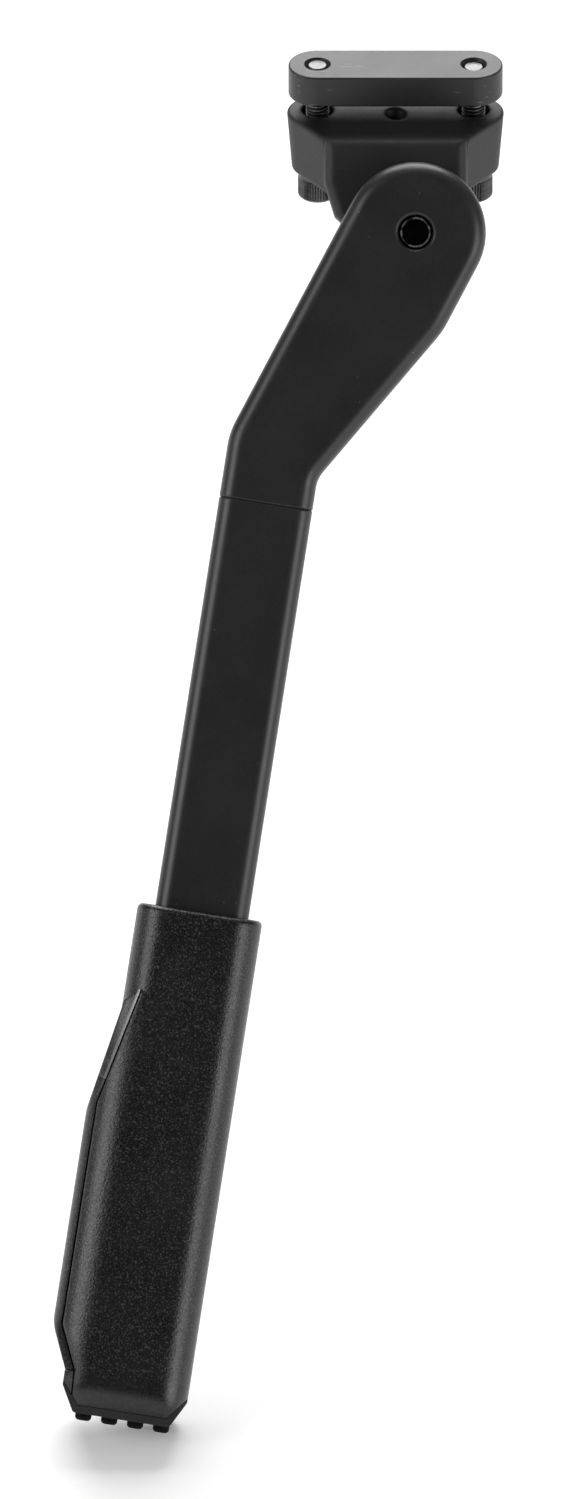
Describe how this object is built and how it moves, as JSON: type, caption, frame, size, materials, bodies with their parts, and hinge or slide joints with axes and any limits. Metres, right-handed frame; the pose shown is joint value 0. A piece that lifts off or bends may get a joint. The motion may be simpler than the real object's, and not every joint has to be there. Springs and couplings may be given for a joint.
{
  "type": "bicycle kickstand",
  "caption": "Folding bicycle kickstand: a bolted clamp bracket, a bent leg on a pivot with a spring detent, and a plastic foot that slides to length under a clamping lever.",
  "frame": {"origin": "centre of the bracket's seat, midway between the two fixing screws", "axes": "+Z is the seat's normal, towards the clamp plate; +X runs along the line of the screws, towards the way the leg folds; -Y faces outwards from the bicycle"},
  "size_m": [0.1151, 0.2078, 0.295],
  "materials": {
    "bracket_paint": "satin black paint on cast alloy",
    "plate_paint": "satin black coating on alloy",
    "leg_paint": "satin black paint on forged and drawn alloy",
    "black_screw": "black oxide with bare bright ends",
    "bright_steel": "bright zinc plated",
    "spring_steel": "drawn spring wire",
    "hub_steel": "turned and greased",
    "bush_bronze": "sintered bronze",
    "foot_plastic": "black, fine spark-eroded grain",
    "plug_plastic": "black, plain",
    "pad_plastic": "natural",
    "sole_rubber": "matte black"
  },
  "bodies": {
    "bracket": {"bracket": "bracket_paint", "clamp_plate": "plate_paint", "mount_screws": "black_screw", "spring_washers": "black_screw", "pivot_bush": "bush_bronze", "stop_pin": "hub_steel", "detent_plug": "bright_steel", "detent_spring": "spring_steel"},
    "plunger": {"detent_plunger": "hub_steel"},
    "leg": {"leg_arm": "leg_paint", "leg_tube": "leg_paint", "cam_hub": "hub_steel", "hub_dowels": "hub_steel", "pivot_bolt": "black_screw", "pivot_washer": "bright_steel", "tube_set_screws": "black_screw", "tube_end_plug": "plug_plastic"},
    "foot": {"foot_shell": "foot_plastic", "foot_sole": "sole_rubber", "lever_pin": "bright_steel", "brake_pad": "pad_plastic", "foot_stop_screw": "black_screw"},
    "lever": {"release_lever": "foot_plastic"}
  },
  "joints": [
    {"name": "leg_fold", "type": "hinge", "parent": "bracket", "child": "leg", "pos_m": [0.005, -0.03564, -0.01592], "axis": [0, -0.8572, 0.515], "range_deg": [0, 95]},
    {"name": "detent_plunge", "type": "slide", "parent": "bracket", "child": "plunger", "axis": [0.1594, -0.5085, -0.8462], "range_m": [0, 0.0009], "stiffness_N_per_m": 2000, "springref_m": 0.004, "deforming": ["detent_spring"]},
    {"name": "foot_extend", "type": "slide", "parent": "leg", "child": "foot", "axis": [-0.1547, -0.5088, -0.8468], "range_m": [-0.025, 0.03]},
    {"name": "lever_open", "type": "hinge", "parent": "foot", "child": "lever", "pos_m": [-0.07258, -0.14467, -0.19739], "axis": [0, 0.8572, -0.515], "range_deg": [0, 80]}
  ]
}
